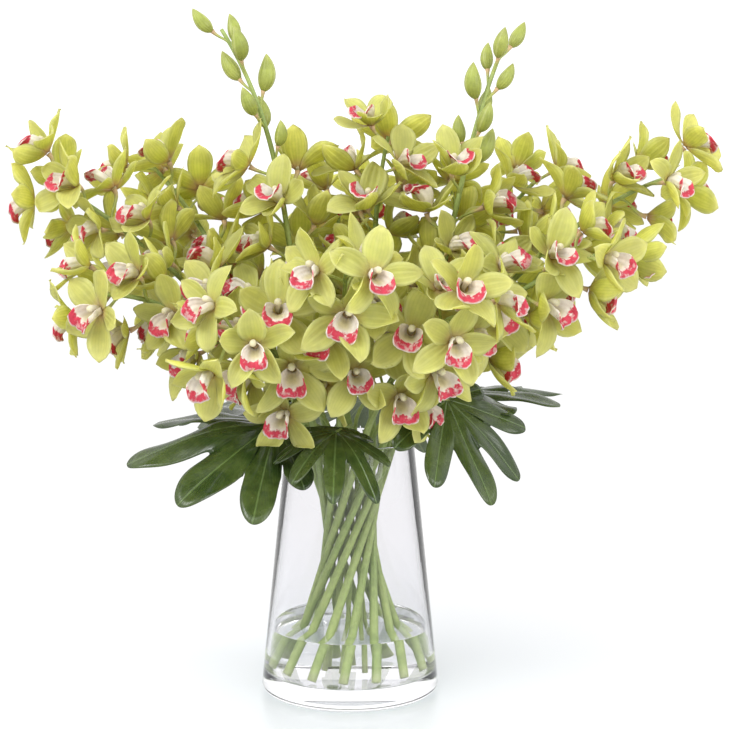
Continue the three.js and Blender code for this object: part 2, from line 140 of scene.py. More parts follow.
def ring_point(radius, angle, z):
    return np.array([radius * math.cos(angle), radius * math.sin(angle), z])


def inner_radius(z):
    """The vase's inner wall: the cone's radius at z, less the wall."""
    return VASE["base"] + (VASE["rim"] - VASE["base"]) * (z / VASE["height"]) - VASE["wall"]


# ---- Where everything grows -------------------------------------------------------------------------------


def stem_run(slot):
    """Foot, rim point and direction of a stem's straight part: each foot stands the spiral's turn behind."""
    heading = SPIRAL["first"] + slot * 2 * math.pi / len(SPIKES)
    foot_z = VASE["floor"] + 2 * GAP + STEM["foot"] * 0.5
    foot = ring_point(inner_radius(foot_z) - SPIRAL["foot_inset"], heading - SPIRAL["turn"], foot_z)
    rim_radius = inner_radius(VASE["height"]) - SPIRAL["rim_inset"]
    rim = ring_point(rim_radius, heading, VASE["height"] + SPIRAL["above"])
    return foot, rim, unit(rim - foot)


def arch_of(slot):
    """Bezier points of a spike's arch: out along the stem, over the bend, and to the tip."""
    _, rim, along = stem_run(slot)
    tip, bend = (np.array(SPIKES[slot][key], float) for key in ("tip", "bend"))
    length = np.linalg.norm(tip - rim)
    return np.array([rim, rim + along * 0.33 * length, mix(rim, tip, 0.68) + bend, tip])


def stations():
    """Every bloom and bud: where it leaves its stem, which way, and the hub its pedicel ends at.

    The k-th of n sits at share (k + 1/2)/n between the spike's start and its tip, turned by the golden
    angle, leaning out from the stem by the pedicel's lean, or half of it for a bud.
    """
    rows = []
    for slot, spike in enumerate(SPIKES):
        arch = arch_of(slot)
        count = spike["blooms"] + spike["buds"]
        share = (np.arange(count) + 0.5) / count
        t = mix(spike["start"], 0.985, share)
        source = bezier(arch, t)
        axis = unit(bezier(arch, np.minimum(t + 1e-4, 1)) - bezier(arch, t - 1e-4))
        side = unit(np.cross([0, 1, 0], axis))
        over = np.cross(axis, side)
        turn = (slot * 1.3 + np.arange(count) * GOLDEN_ANGLE)[:, None]
        out = side * np.cos(turn) + over * np.sin(turn)
        bud = np.arange(count) >= spike["blooms"]
        lean = np.where(bud, 0.5, 1)[:, None] * PEDICEL["lean"]
        way = axis * np.cos(lean) + out * np.sin(lean)
        reach = mix(PEDICEL["length"], PEDICEL["tip_length"], np.where(bud, 1.3, share))[:, None]
        rows.append(
            dict(
                spike=np.full(count, slot),
                order=np.arange(count),
                bud=bud,
                source=source,
                axis=axis,
                way=way,
                hub=source + way * reach,
                seed=slot * 40 + np.arange(count),
            )
        )
    return {key: np.concatenate([row[key] for row in rows]) for key in rows[0]}


def spread_hubs(blooms):
    """Hubs move apart until none crowds another or another spike's stem, on pedicels of limited length."""
    hub, source = blooms["hub"].copy(), blooms["source"]
    rachis = np.concatenate([bezier(arch_of(slot), np.arange(15) / 14) for slot in range(len(SPIKES))])
    other = blooms["spike"][:, None] != np.repeat(np.arange(len(SPIKES)), 15)[None]

    def push(away, least, strength, counts):
        near = np.linalg.norm(away, axis=2, keepdims=True)
        near = np.where(near > 0, near, 1e9)
        near_enough = (near < least) & counts[:, :, None]
        return (away * np.where(near_enough, strength * (least - near) / near, 0)).sum(1)

    everyone = np.ones((len(hub), len(hub)), bool)
    for _ in range(60):
        move = push(hub[:, None] - hub[None], BLOOM["spacing"], 0.25, everyone)
        move += push(hub[:, None] - rachis[None], BLOOM["clear"], 0.2, other)
        hub = hub + move
        hub[:, 2] = np.maximum(hub[:, 2], BLOOM["lowest_hub"])
        arm = hub - source
        length = np.linalg.norm(arm, axis=1, keepdims=True)
        hub = source + arm * np.minimum(1, PEDICEL["longest"] / length)
    return hub


def face_blooms(blooms):
    """Each bloom faces away from its stem and from the bouquet's middle, upright but for a little tilt."""
    hub, seed = blooms["hub"], blooms["seed"]
    facing = 0.8 * unit(hub - blooms["source"]) + 0.75 * unit(hub - np.array([0, 0, 360.0]))
    facing[:, 2] = facing[:, 2] * 0.75 - 0.05
    facing = unit(facing)
    upright = unit(UP - facing * facing[:, 2:])
    right = np.cross(upright, facing)
    tilt = ((chance(seed) - 0.5) * 50 * DEG)[:, None]
    blooms["facing"] = facing
    blooms["upright"] = upright * np.cos(tilt) + right * np.sin(tilt)
    blooms["right"] = np.cross(blooms["upright"], facing)
    blooms["open"] = 0.25 + 0.75 * chance(seed + 500)
    blooms["size"] = 0.9 + 0.16 * chance(seed + 900) - 0.1 * blooms["order"] / 15


def walls_round(blooms, ease):
    """For each bloom the planes half-way to its neighbours, moved out by ease, and the lowest level."""
    walls = []
    for hub in blooms["hub"]:
        away = blooms["hub"] - hub
        far = np.linalg.norm(away, axis=1)
        near = (far > 0) & (far < 2.3 * BLOOM["reach"])
        normal = np.vstack([away[near] / far[near, None], -UP])
        room = np.append((far[near] / 2 - GAP) * ease, hub[2] - BLOOM["lowest"])
        walls.append((normal, room))
    return walls


def kept_in(points, blooms, walls, slide=0.8):
    """Points (bloom, ...) on their own side of every wall: turned forward first, then drawn in."""
    kept = points.copy()
    for i, (normal, room) in enumerate(walls):
        arm = points[i].reshape(-1, 3) - blooms["hub"][i]
        for n, r in zip(normal, room):
            arm = arm + np.maximum(arm @ n - r, 0)[:, None] * (blooms["facing"][i] * slide - n)
        share = np.minimum(1, (room / np.maximum(arm @ normal.T, room)).min(1))
        kept[i] = (arm * share[:, None] + blooms["hub"][i]).reshape(points[i].shape)
    return kept


# ---- Meshes -----------------------------------------------------------------------------------------------


def make_piece(name, parts, replaces, material):
    """One mesh from parts, each (points, [face arrays], uv, extras), in millimetres, riding on the root."""
    points = np.concatenate([part[0] for part in parts])
    starts = np.cumsum([0] + [len(part[0]) for part in parts])
    faces = []
    for part, start in zip(parts, starts):
        for group in part[1]:
            faces += (group + start).tolist()
    mesh = bpy.data.meshes.new(name)
    mesh.from_pydata((points * MM).tolist(), [], faces)
    corner = np.zeros(len(mesh.loops), int)
    mesh.loops.foreach_get("vertex_index", corner)
    uv = np.concatenate([part[2] for part in parts])
    mesh.uv_layers.new(name="Growth").data.foreach_set("uv", uv[corner].ravel())
    for key in parts[0][3]:
        values = np.concatenate([part[3][key] for part in parts]).astype(float)
        mesh.attributes.new(key, "FLOAT", "POINT").data.foreach_set("value", values)
    mesh.polygons.foreach_set("use_smooth", np.ones(len(mesh.polygons), bool))
    mesh.materials.append(material)
    mesh.update()
    piece = bpy.data.objects.new(name, mesh)
    bpy.context.scene.collection.objects.link(piece)
    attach(piece, "root")
    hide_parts(*replaces)
    return piece


def grid_faces(m, n, wrap=False):
    """Quads of an m by n grid of points, wrapped round its second axis or not."""
    i, j = np.meshgrid(np.arange(m - 1), np.arange(n if wrap else n - 1), indexing="ij")
    k = (j + 1) % n
    return np.stack([i * n + j, (i + 1) * n + j, (i + 1) * n + k, i * n + k], -1).reshape(-1, 4)


def copies(faces, count, size):
    """The same faces for each of count copies of a shape with size points."""
    return (faces[None] + (np.arange(count) * size)[:, None, None]).reshape(-1, faces.shape[1])


def shells(surface, thick, uv, extras):
    """Closed thin shells over surfaces (k, m, n, 3): both skins lie half the thickness off along the normal,
    which is the way along crossed with the way across, and a strip joins them round the edge."""
    k, m, n, _ = surface.shape
    normal = unit(np.cross(np.gradient(surface, axis=1), np.gradient(surface, axis=2)))
    half = 0.5 * np.broadcast_to(thick, (k, m, n))[..., None] * normal
    points = np.stack([surface + half, surface - half], 1).reshape(-1, 3)
    front = grid_faces(m, n)
    i, j = np.arange(m), np.arange(n)
    edge = np.concatenate([i * n, (m - 1) * n + j[1:], i[-2::-1] * n + n - 1, j[-2:0:-1]])
    after = np.roll(edge, -1)
    strip = np.stack([after, edge, edge + m * n, after + m * n], -1)
    faces = np.concatenate([front, front[:, ::-1] + m * n, strip])
    uv = np.broadcast_to(uv, (k, m, n, 2))
    uv = np.stack([uv, uv], 1).reshape(-1, 2)
    kept = {}
    for key, value in extras.items():
        kept[key] = np.repeat(np.broadcast_to(value, (k, m, n))[:, None], 2, 1).ravel()
    kept["under"] = np.tile(np.repeat([0.0, 1.0], m * n), k)
    return points, [copies(faces, k, 2 * m * n)], uv, kept


def carried(path):
    """Two directions square to each path (k, m, 3), carried along it without twist."""
    tangent = unit(np.gradient(path, axis=1))
    start = np.eye(3)[np.abs(tangent[:, 0]).argmin(1)]
    side = [unit(start - tangent[:, 0] * dot(start, tangent[:, 0]))]
    for i in range(1, path.shape[1]):
        side.append(unit(side[-1] - tangent[:, i] * dot(side[-1], tangent[:, i])))
    side = np.stack(side, 1)
    return side, np.cross(tangent, side)


def tubes(path, radius, sides, extras, flute=0.0, flutes=3):
    """Closed tubes of the given radius (k, m) along paths (k, m, 3). flute ripples the section by the cosine
    of so many times the angle. Growth runs along and round them."""
    k, m, _ = path.shape
    side, over = carried(path)
    angle = np.arange(sides) * 2 * math.pi / sides
    ripple = 1 + flute * np.cos(flutes * angle)
    out = side[:, :, None] * np.cos(angle)[:, None] + over[:, :, None] * np.sin(angle)[:, None]
    points = path[:, :, None] + out * (np.broadcast_to(radius, (k, m))[:, :, None] * ripple)[..., None]
    faces = grid_faces(m, sides, wrap=True)[:, ::-1]
    ends = np.array([np.arange(sides)[::-1], np.arange(sides) + (m - 1) * sides])
    u, v = np.meshgrid(np.linspace(0, 1, m), np.arange(sides) / sides, indexing="ij")
    uv = np.broadcast_to(np.stack([u, v], -1), (k, m, sides, 2)).reshape(-1, 2)
    kept = {key: np.broadcast_to(value, (k, m, sides)).ravel() for key, value in extras.items()}
    kept["under"] = np.zeros(k * m * sides)
    size = m * sides
    return points.reshape(-1, 3), [copies(faces, k, size), copies(ends, k, size)], uv, kept


# ---- Blooms -----------------------------------------------------------------------------------------------

TEPAL_TURN = (90 + 72 * np.arange(5)) * DEG  # the dorsal sepal is the first, the petals the second and last
TEPAL_LENGTH = np.array([1.0, 0.97, 1.0, 1.0, 0.97])
TEPAL_HALF_WIDTH = np.array([14.2, 12.6, 14.4, 14.4, 12.6])


def tepal_surfaces(blooms, rows=11, columns=7):
    """Five tepals for each bloom, as (bloom, tepal, rows, columns, 3).

    Along a tepal the midrib's climb towards the front is its steepness, changed by its curl, and the rib is
    the sum of those small steps. Across it the section is an arc of half-angle cup, as wide as
    s^0.6 (1 - s^2.4)^0.86, with a wavy margin, turned about the rib by its twist.
    """
    count = len(blooms["hub"])
    seed = blooms["seed"][:, None] * 7.0 + np.arange(5) * 13.0

    def vary(low, high, key):
        return mix(low, high, chance(seed + key))[:, :, None, None]

    s = np.linspace(0, 1, rows)[:, None]
    v = np.linspace(-1, 1, columns)[None]
    size = blooms["size"][:, None, None, None]
    length = BLOOM["reach"] * size * TEPAL_LENGTH[:, None, None] * vary(0.98, 1.14, 1)
    half = size * TEPAL_HALF_WIDTH[:, None, None] * vary(0.98, 1.2, 2)
    outline = s**0.6 * (1 - s**2.4) ** 0.86 / 0.56
    width = half * np.maximum(outline, 0.16 * (1 - s) + 0.03)
    steep = mix(BLOOM["shut"], BLOOM["flat"], blooms["open"])[:, None, None, None] + vary(-16, 18, 3) * DEG
    climb = steep * (0.7 + 0.45 * s) + vary(-56, 62, 4) * DEG * (s - 0.35)
    step = length / (rows - 1)
    r = 2.4 + np.cumsum(np.cos(climb), 2) * step - np.cos(climb[:, :, :1]) * step
    z = 0.6 + np.cumsum(np.sin(climb), 2) * step - np.sin(climb[:, :, :1]) * step
    cup = vary(0.35, 1.15, 5) * (0.45 + 0.55 * np.sin(math.pi * s))
    across = width * np.sin(cup * v) / cup
    lift = width * (1 - np.cos(cup * v)) / cup
    margin_wave = np.sin(7 * s + seed[:, :, None, None] + 2 * v) * smooth(0.2, 0.8, s)
    lift = lift + vary(-1, 1, 6) * 2.6 * v**2 * margin_wave
    twist = vary(-52, 52, 7) * DEG * s + vary(-16, 16, 8) * DEG
    across, lift = (
        across * np.cos(twist) - lift * np.sin(twist),
        across * np.sin(twist) + lift * np.cos(twist),
    )
    turn = (TEPAL_TURN + (chance(seed + 9) - 0.5) * 14 * DEG)[:, :, None, None, None]
    right, upright, facing = (blooms[key][:, None, None, None, :] for key in ("right", "upright", "facing"))
    radial = right * np.cos(turn) + upright * np.sin(turn)
    sideways = -right * np.sin(turn) + upright * np.cos(turn)
    climb = climb[..., None]
    inward = -radial * np.sin(climb) + facing * np.cos(climb)
    points = blooms["hub"][:, None, None, None, :] + radial * r[..., None] + facing * z[..., None]
    points = points + sideways * across[..., None] + inward * lift[..., None]
    return kept_in(points.reshape(count, 5, rows, columns, 3), blooms, walls_round(blooms, 1.55))


def tepal_part(blooms):
    surface = tepal_surfaces(blooms)
    count, five, rows, columns, _ = surface.shape
    s, v = np.meshgrid(np.linspace(0, 1, rows), np.linspace(0, 1, columns), indexing="ij")
    tone = chance(blooms["seed"][:, None] * 3.0 + np.arange(5) * 0.37 + 40)
    tone = 0.6 * chance(blooms["seed"] + 77)[:, None] + 0.4 * tone
    extras = dict(tone=tone.reshape(-1, 1, 1))
    thick = 0.9 * (1 - 0.5 * (2 * v - 1) ** 2) * (1 - 0.4 * s)
    surface = surface.reshape(count * five, rows, columns, 3)[:, :, ::-1]
    return shells(surface, thick, np.stack([s, v], -1), extras)


def lip_surfaces(blooms, rows=15, columns=17):
    """The lip of each bloom: a trough round the column whose front lobe turns down.

    Its keel falls from the hub at an angle that grows along it, and each section is an arc of a circle that
    stands on the keel, from nearly closed at the base to wide open at the frilled front.
    """
    s = np.linspace(0, 1, rows)[None, :, None]
    a = np.linspace(-1, 1, columns)[None, None]
    seed = blooms["seed"][:, None, None].astype(float)
    size = blooms["size"][:, None, None]
    length = LIP["length"] * size
    reach = s * (1 - 0.2 * a**2 * smooth(0.5, 1, s))
    keel = mix(8, 30, chance(seed + 61)) * DEG
    drop = keel + 26 * DEG * reach + 62 * DEG * smooth(0.62, 1, reach)
    fine = np.linspace(0, 1, 60)
    fall = keel + 26 * DEG * fine + 62 * DEG * smooth(0.62, 1, fine)
    fall = np.broadcast_to(fall, (len(seed), 1, 60))[:, 0]
    down = np.cumsum(np.sin(fall), 1) / 60
    out = np.cumsum(np.cos(fall), 1) / 60
    at = np.clip(reach * 59, 0, 59)
    low = np.floor(at).astype(int)
    high = np.minimum(low + 1, 59)
    pick = np.arange(len(seed))[:, None, None]
    y = -mix(down[pick, low], down[pick, high], at - low) * length
    z = mix(out[pick, low], out[pick, high], at - low) * length
    radius = size * LIP["radius"] * (0.45 + 0.62 * smooth(0, 0.6, s) + 0.16 * smooth(0.6, 1, s))
    spread = mix(152, 108, smooth(0, 0.55, s)) - 36 * smooth(0.6, 1, s)
    phi = a * spread * DEG
    frill = size * smooth(0.72, 1, s) * (0.9 * np.sin(13 * a + seed * 1.7) + 0.5 * np.sin(29 * a + seed))
    lift = radius * (1 - np.cos(phi)) + frill
    x = radius * np.sin(phi) * (1 + 0.12 * smooth(0.7, 1, s))
    y = y - 2.5 + lift * np.cos(drop)
    z = z + 1.5 + lift * np.sin(drop)
    right, upright, facing = (blooms[key][:, None, None] for key in ("right", "upright", "facing"))
    points = blooms["hub"][:, None, None] + right * x[..., None]
    return points + upright * y[..., None] + facing * z[..., None]


def lip_part(blooms):
    surface = lip_surfaces(blooms)
    _, rows, columns, _ = surface.shape
    s, a = np.meshgrid(np.linspace(0, 1, rows), np.linspace(0, 1, columns), indexing="ij")
    extras = dict(tone=chance(blooms["seed"] + 23)[:, None, None])
    return shells(surface, 0.8, np.stack([s, a], -1), extras)


def column_part(blooms):
    """The column: an arched rod under the dorsal sepal that ends in a blunt rounded cap over the lip."""
    share = np.array([0, 0.12, 0.3, 0.5, 0.68, 0.8, 0.9, 0.96, 1.0])
    radius = np.array([2.4, 2.5, 2.7, 3.0, 3.4, 3.6, 3.3, 2.5, 0.8])
    size = blooms["size"][:, None]
    along = 19 * size * share
    y = size * (1.2 + 5.2 * np.sin(math.pi * 0.62 * share) - 1.8 * share**3)
    path = blooms["hub"][:, None] + blooms["facing"][:, None] * along[..., None]
    path = path + blooms["upright"][:, None] * y[..., None]
    extras = dict(tone=chance(blooms["seed"] + 23)[:, None, None])
    points, faces, uv, kept = tubes(path, radius * size, 10, extras)
    return points, faces, uv - [1.02, 0], kept


def pedicel_part(rows, steps=9):
    """Pedicels from the stem to each hub: a bent tube that leaves along the stem, comes in behind the bloom,
    and swells at the end into the ovary."""
    ends_at = rows["hub"] - rows["facing"] * 0.6
    length = np.linalg.norm(ends_at - rows["source"], axis=1, keepdims=True)
    out = unit(rows["axis"] * 0.6 + unit(ends_at - rows["source"]))
    control = np.stack(
        [
            rows["source"],
            rows["source"] + out * 0.36 * length,
            ends_at - rows["facing"] * 0.38 * length,
            ends_at,
        ],
        1,
    )
    share = np.linspace(0, 1, steps)
    path = bezier(control, share)
    radius = np.interp(share, [0, 0.06, 0.25, 0.7, 0.9, 1], [2.3, 1.6, 1.25, 1.7, 2.2, 3.0])
    radius = radius * np.where(rows["bud"], 0.85, 1.0)[:, None]
    extras = dict(tone=chance(rows["seed"] + 5)[:, None, None])
    return tubes(path, radius, 8, extras)


def bud_part(buds, rows=15):
    """Buds: a bent spindle of radius sin(pi s^0.8)^0.75, with three raised seams."""
    size = (0.72 + 0.3 * chance(buds["seed"]))[:, None]
    share = (1 - np.cos(np.linspace(0, math.pi, rows))) / 2
    axis = unit(buds["way"] + UP * 0.35)
    side = unit(np.cross(axis, buds["axis"]))
    along = BUD["length"] * size * (share - 0.06)
    bow = 2.6 * size * np.sin(math.pi * share)
    path = buds["hub"][:, None] + axis[:, None] * along[..., None]
    path = path + np.cross(axis, side)[:, None] * bow[..., None]
    radius = 0.5 * BUD["width"] * size * np.maximum(np.sin(math.pi * share**0.8) ** 0.75, 0.06)
    extras = dict(tone=chance(buds["seed"] + 31)[:, None, None])
    return tubes(path, radius, 15, extras, flute=0.06)


def stem_part(slot, rows=72):
    """One whole stem: straight through the vase, then along its arch, thinning, with slight joints."""
    foot, rim, _ = stem_run(slot)
    straight = foot + (rim - foot) * np.linspace(0, 1, 24)[:-1, None]
    path = np.vstack([straight, bezier(arch_of(slot), np.linspace(0, 1, rows - 23))])[None]
    length = np.cumsum(np.r_[0, np.linalg.norm(np.diff(path[0], axis=0), axis=1)])
    share = length / length[-1]
    at_rim = length[23] / length[-1]
    radius = np.interp(share, [0, at_rim, 1], [STEM["foot"], STEM["rim"], STEM["tip"]])
    joint = np.abs((length / 62 + 0.37 * slot) % 1 - 0.5)
    radius = radius * (1 + 0.07 * smooth(0.44, 0.5, joint)) * (1 + 0.02 * np.sin(length / 17 + slot))
    tone = dict(tone=np.full((1, 1, 1), chance(slot + 3.0)))
    points, faces, uv, kept = tubes(path, radius[None], 12, tone)
    uv = np.stack([np.repeat(length / 500, 12), uv[:, 1]], -1)
    return points, faces, uv, kept


# ---- Leaves -----------------------------------------------------------------------------------------------


def leaf_outline(leaf):
    """The lobes' outline in the blade's own plane, as (forward, sideways): finger lobes spread round the
    forward direction, longest in front, each full width to near its blunt end. Three rounds of corner
    cutting smooth it."""
    corners = []
    for k in range(LEAF["lobes"]):
        place = 2 * k / (LEAF["lobes"] - 1) - 1
        middle = place * LEAF["spread"]
        vary = 0.92 + 0.16 * chance(k + float(leaf["size"]))
        length = leaf["size"] * (1 - (1 - LEAF["back_lobe"]) * place * place) * vary
        gap = LEAF["spread"] / (LEAF["lobes"] - 1)
        rim = []
        for width, share in ((1, 0.62), (0.92, 0.86), (0.4, 1)):
            wide = LEAF["lobe_half"] * width * leaf["size"]
            rim.append((min(0.86 * gap, math.asin(min(0.9, wide / (share * length)))), share * length))
        corners += [(middle - half, reach) for half, reach in rim]
        corners += [(middle + half, reach) for half, reach in rim[::-1]]
        corners.append((middle + gap, leaf["size"] * LEAF["sinus"] * (1 - 0.25 * abs(place))))
    angle, reach = np.array(corners).T
    flat = np.stack([reach * np.cos(angle), reach * np.sin(angle)], -1)
    for _ in range(3):
        after = np.roll(flat, -1, 0)
        flat = np.stack([0.75 * flat + 0.25 * after, 0.25 * flat + 0.75 * after], 1).reshape(-1, 2)
    return flat


def leaf_part(leaf, rings=15):
    """A blade: its outline drawn in towards the hub ring by ring, then bent down by fall times the square of
    the reach, hollowed along each rib, arched between ribs and margin, and waved."""
    heading, slope = leaf["heading"] * DEG, leaf["slope"] * DEG
    forward = np.array(
        [math.cos(heading) * math.cos(slope), math.sin(heading) * math.cos(slope), math.sin(slope)]
    )
    side = unit(np.cross(UP, forward)) * math.cos(leaf["roll"] * DEG) + UP * math.sin(leaf["roll"] * DEG)
    face = unit(np.cross(forward, side))
    outline = leaf_outline(leaf)
    flat = np.linspace(0.02, 1, rings)[:, None, None] * np.vstack([outline, outline[:1]])[None]
    reach = np.linalg.norm(flat, axis=-1)
    angle = np.arctan2(flat[..., 1], flat[..., 0])
    ribs = np.linspace(-1, 1, LEAF["lobes"]) * LEAF["spread"]
    off = angle[..., None] - ribs
    off = (off + math.pi) % (2 * math.pi) - math.pi
    nearest = np.abs(off).argmin(-1)
    off = np.take_along_axis(off, nearest[..., None], -1)[..., 0]
    beside = reach * np.sin(np.clip(off, -1.4, 1.4))
    size = leaf["size"]
    lift = 2.2 * (1 - np.exp(-((beside / 7) ** 2))) * smooth(0.05, 0.3, reach / size)
    lift = lift - 0.011 * beside**2
    lift = lift + 2.6 * np.sin(reach / 13 + nearest * 2.1 + leaf["slot"]) * smooth(3, 16, np.abs(beside))
    lift = lift + 7 * np.sin(nearest * 2.3 + leaf["slot"] * 1.7) * smooth(0.35, 1, reach / size)
    hub = np.array(leaf["hub"], float)
    points = hub + flat[..., :1] * forward + flat[..., 1:] * side + lift[..., None] * face
    points[..., 2] -= leaf["fall"] * (reach / size) ** 2 + leaf["droop"] * np.maximum(0, flat[..., 1])
    uv = np.stack([0.5 + beside / 60, reach / 180], -1)
    edge = np.clip(reach / np.maximum(reach[-1:], 1), 0, 1)
    thick = LEAF["thick"] * (1 - 0.45 * edge)
    extras = dict(tone=np.full((1, 1, 1), chance(size + 0.5)))
    return shells(points[None], thick[None], uv[None], extras)


def petiole_part(leaf):
    """A petiole: a smooth rod through the middle of the bundle, out between two stems and up to its blade."""
    heading = SPIRAL["first"] + (leaf["slot"] + 0.5) * 2 * math.pi / len(SPIKES)
    foot_z = VASE["floor"] + 3 * GAP + PETIOLE_RADIUS
    knots = np.array(
        [
            ring_point(20, heading - SPIRAL["turn"], foot_z),
            ring_point(9, heading - SPIRAL["turn"] * 0.45, 0.66 * VASE["height"]),
            ring_point(25, heading, VASE["height"] - 2),
            ring_point(48, heading, VASE["height"] + 20),
            np.array(leaf["hub"], float),
        ]
    )
    held = np.vstack([2 * knots[0] - knots[1], knots, 2 * knots[-1] - knots[-2]])
    path = []
    for a, b, c, d in zip(held, held[1:], held[2:], held[3:]):
        t = np.linspace(0, 1, 10)[:-1, None]
        bend, turn = 2 * a - 5 * b + 4 * c - d, 3 * b - a - 3 * c + d
        path.append(0.5 * (2 * b + (c - a) * t + bend * t**2 + turn * t**3))
    path = np.vstack(path + [knots[-1:]])[None]
    share = np.linspace(0, 1, path.shape[1])
    tone = dict(tone=np.full((1, 1, 1), 0.5))
    points, faces, uv, kept = tubes(path, (PETIOLE_RADIUS * (1 - 0.2 * share))[None], 10, tone)
    return points, faces, uv * [0.6, 1], kept


# ---- Vase and water ---------------------------------------------------------------------------------------


def turned(profile, segments=144):
    """A profile (radius, height) turned about the vertical axis, closed by a flat disc at either end."""
    radius, height = np.array(profile, float).T
    angle = np.arange(segments) * 2 * math.pi / segments
    x, y = (radius[:, None] * f(angle) for f in (np.cos, np.sin))
    points = np.stack([x, y, np.broadcast_to(height[:, None], x.shape)], -1).reshape(-1, 3)
    m = len(radius)
    faces = grid_faces(m, segments, wrap=True)[:, ::-1]
    ends = np.array([np.arange(segments)[::-1], np.arange(segments) + (m - 1) * segments])
    uv = np.stack([points[:, 2] / 300, np.tile(angle / 7, m)], -1)
    return points, [faces, ends], uv, {}


def arc(cx, cz, radius, start, end, steps=8):
    """Points of a circle's arc in the profile's plane, between two angles in degrees."""
    a = np.linspace(start, end, steps) * DEG
    return np.stack([cx + radius * np.cos(a), cz + radius * np.sin(a)], -1)


def vase_profile():
    corner, lip = VASE["corner"], VASE["wall"] / 2
    inner = inner_radius(VASE["floor"]) - corner * 0.6
    return np.vstack(
        [
            [[VASE["base"] - corner - 4, 0.0], [VASE["base"] - corner - 1, 0.0]],
            arc(VASE["base"] - corner, corner, corner, -90, 0),
            arc(VASE["rim"] - lip, VASE["height"] - lip, lip, 0, 180, 10),
            arc(inner, VASE["floor"] + corner * 0.6, corner * 0.6, 0, -90),
            [[inner - 3, VASE["floor"]]],
        ]
    )


def water_profile():
    """The water's skin lies a hair inside the glass, and its top creeps up a little at the wall."""
    bite, corner = 0.15, VASE["corner"] * 0.6
    inner = inner_radius(VASE["floor"]) - corner
    top = inner_radius(WATER_LEVEL) + bite
    return np.vstack(
        [
            [[inner - 3, VASE["floor"] - bite], [inner - 0.5, VASE["floor"] - bite]],
            arc(inner, VASE["floor"] + corner, corner + bite, -90, 0),
            [[top - 0.06, WATER_LEVEL + 0.6], [top, WATER_LEVEL + 1.1]],
            [[top - 0.5, WATER_LEVEL + 0.75], [top - 1.6, WATER_LEVEL + 0.2], [top - 4, WATER_LEVEL]],
            [[top - 8, WATER_LEVEL]],
        ]
    )


# ---- Materials --------------------------------------------------------------------------------------------


def math_node(tree, operation, *values):
    """A Math node over numbers or sockets, returning its output."""
    node = tree.nodes.new("ShaderNodeMath")
    node.operation = operation
    for i, value in enumerate(values):
        if isinstance(value, (int, float)):
            node.inputs[i].default_value = value
        else:
            tree.links.new(value, node.inputs[i])
    return node.outputs[0]


def times(tree, a, b):
    """The product of two numbers or sockets."""
    return math_node(tree, "MULTIPLY", a, b)


def fade(tree, value, low, high):
    """A smooth step of a socket from 0 at low to 1 at high."""
    node = tree.nodes.new("ShaderNodeMapRange")
    node.interpolation_type = "SMOOTHSTEP"
    tree.links.new(value, node.inputs["Value"])
    node.inputs["From Min"].default_value = low
    node.inputs["From Max"].default_value = high
    return node.outputs["Result"]


def blend_colours(tree, share, first, second, mode="MIX"):
    """A Mix node over colours, each a tuple or a socket."""
    node = tree.nodes.new("ShaderNodeMix")
    node.data_type = "RGBA"
    node.blend_type = mode
    for socket, value in ((node.inputs[0], share), (node.inputs[6], first), (node.inputs[7], second)):
        if isinstance(value, (int, float)):
            socket.default_value = value
        elif isinstance(value, tuple):
            socket.default_value = (*value, 1)
        else:
            tree.links.new(value, socket)
    return node.outputs[2]


def ramp(tree, value, stops):
    """A colour ramp over a socket: stops are (place, colour)."""
    node = tree.nodes.new("ShaderNodeValToRGB")
    node.color_ramp.interpolation = "EASE"
    while len(node.color_ramp.elements) < len(stops):
        node.color_ramp.elements.new(0.5)
    for element, (place, colour) in zip(node.color_ramp.elements, stops):
        element.position = place
        element.color = (*colour, 1)
    tree.links.new(value, node.inputs[0])
    return node.outputs[0]


def new_group(name, inputs, outputs):
    """A shader node group with named float inputs, and outputs of the kinds given."""
    group = bpy.data.node_groups.new(name, "ShaderNodeTree")
    for key, value in inputs.items():
        socket = group.interface.new_socket(key, in_out="INPUT", socket_type="NodeSocketFloat")
        socket.default_value = value
    for key, kind in outputs.items():
        group.interface.new_socket(key, in_out="OUTPUT", socket_type=kind)
    return group, group.nodes.new("NodeGroupInput"), group.nodes.new("NodeGroupOutput")


def growth_place(tree):
    """How far along and how far across its growth a point of the surface is, each from 0 to 1."""
    uv = tree.nodes.new("ShaderNodeUVMap")
    uv.uv_map = "Growth"
    split = tree.nodes.new("ShaderNodeSeparateXYZ")
    tree.links.new(uv.outputs[0], split.inputs[0])
    return split.outputs[0], split.outputs[1]


def noise_node(tree, **sockets):
    """Noise over the piece's own place."""
    place = tree.nodes.new("ShaderNodeTexCoord")
    noise = tree.nodes.new("ShaderNodeTexNoise")
    tree.links.new(place.outputs["Object"], noise.inputs["Vector"])
    for key, value in sockets.items():
        noise.inputs[key].default_value = value
    return noise


def growth_veins():
    """Fine ribs that run along the growth of a petal, bud or stem: a sine across it, bent by noise, as a
    mask of thin lines and as a height, fading towards the ends of the growth."""
    tree, given, result = new_group(
        "growth_veins",
        {"Count": 9.0, "Sharpness": 3.0, "Wander": 0.02},
        {"Mask": "NodeSocketFloat", "Height": "NodeSocketFloat"},
    )
    along, across = growth_place(tree)
    noise = noise_node(tree, Scale=90)
    wander = math_node(tree, "MULTIPLY_ADD", noise.outputs[0], given.outputs["Wander"], across)
    turns = times(tree, wander, given.outputs["Count"])
    wave = math_node(tree, "SINE", times(tree, turns, 2 * math.pi))
    lines = math_node(tree, "POWER", math_node(tree, "ABSOLUTE", wave), given.outputs["Sharpness"])
    ends = times(tree, fade(tree, along, 0.0, 0.25), fade(tree, along, 1.0, 0.7))
    tree.links.new(times(tree, lines, ends), result.inputs["Mask"])
    tree.links.new(times(tree, wave, ends), result.inputs["Height"])
    return tree


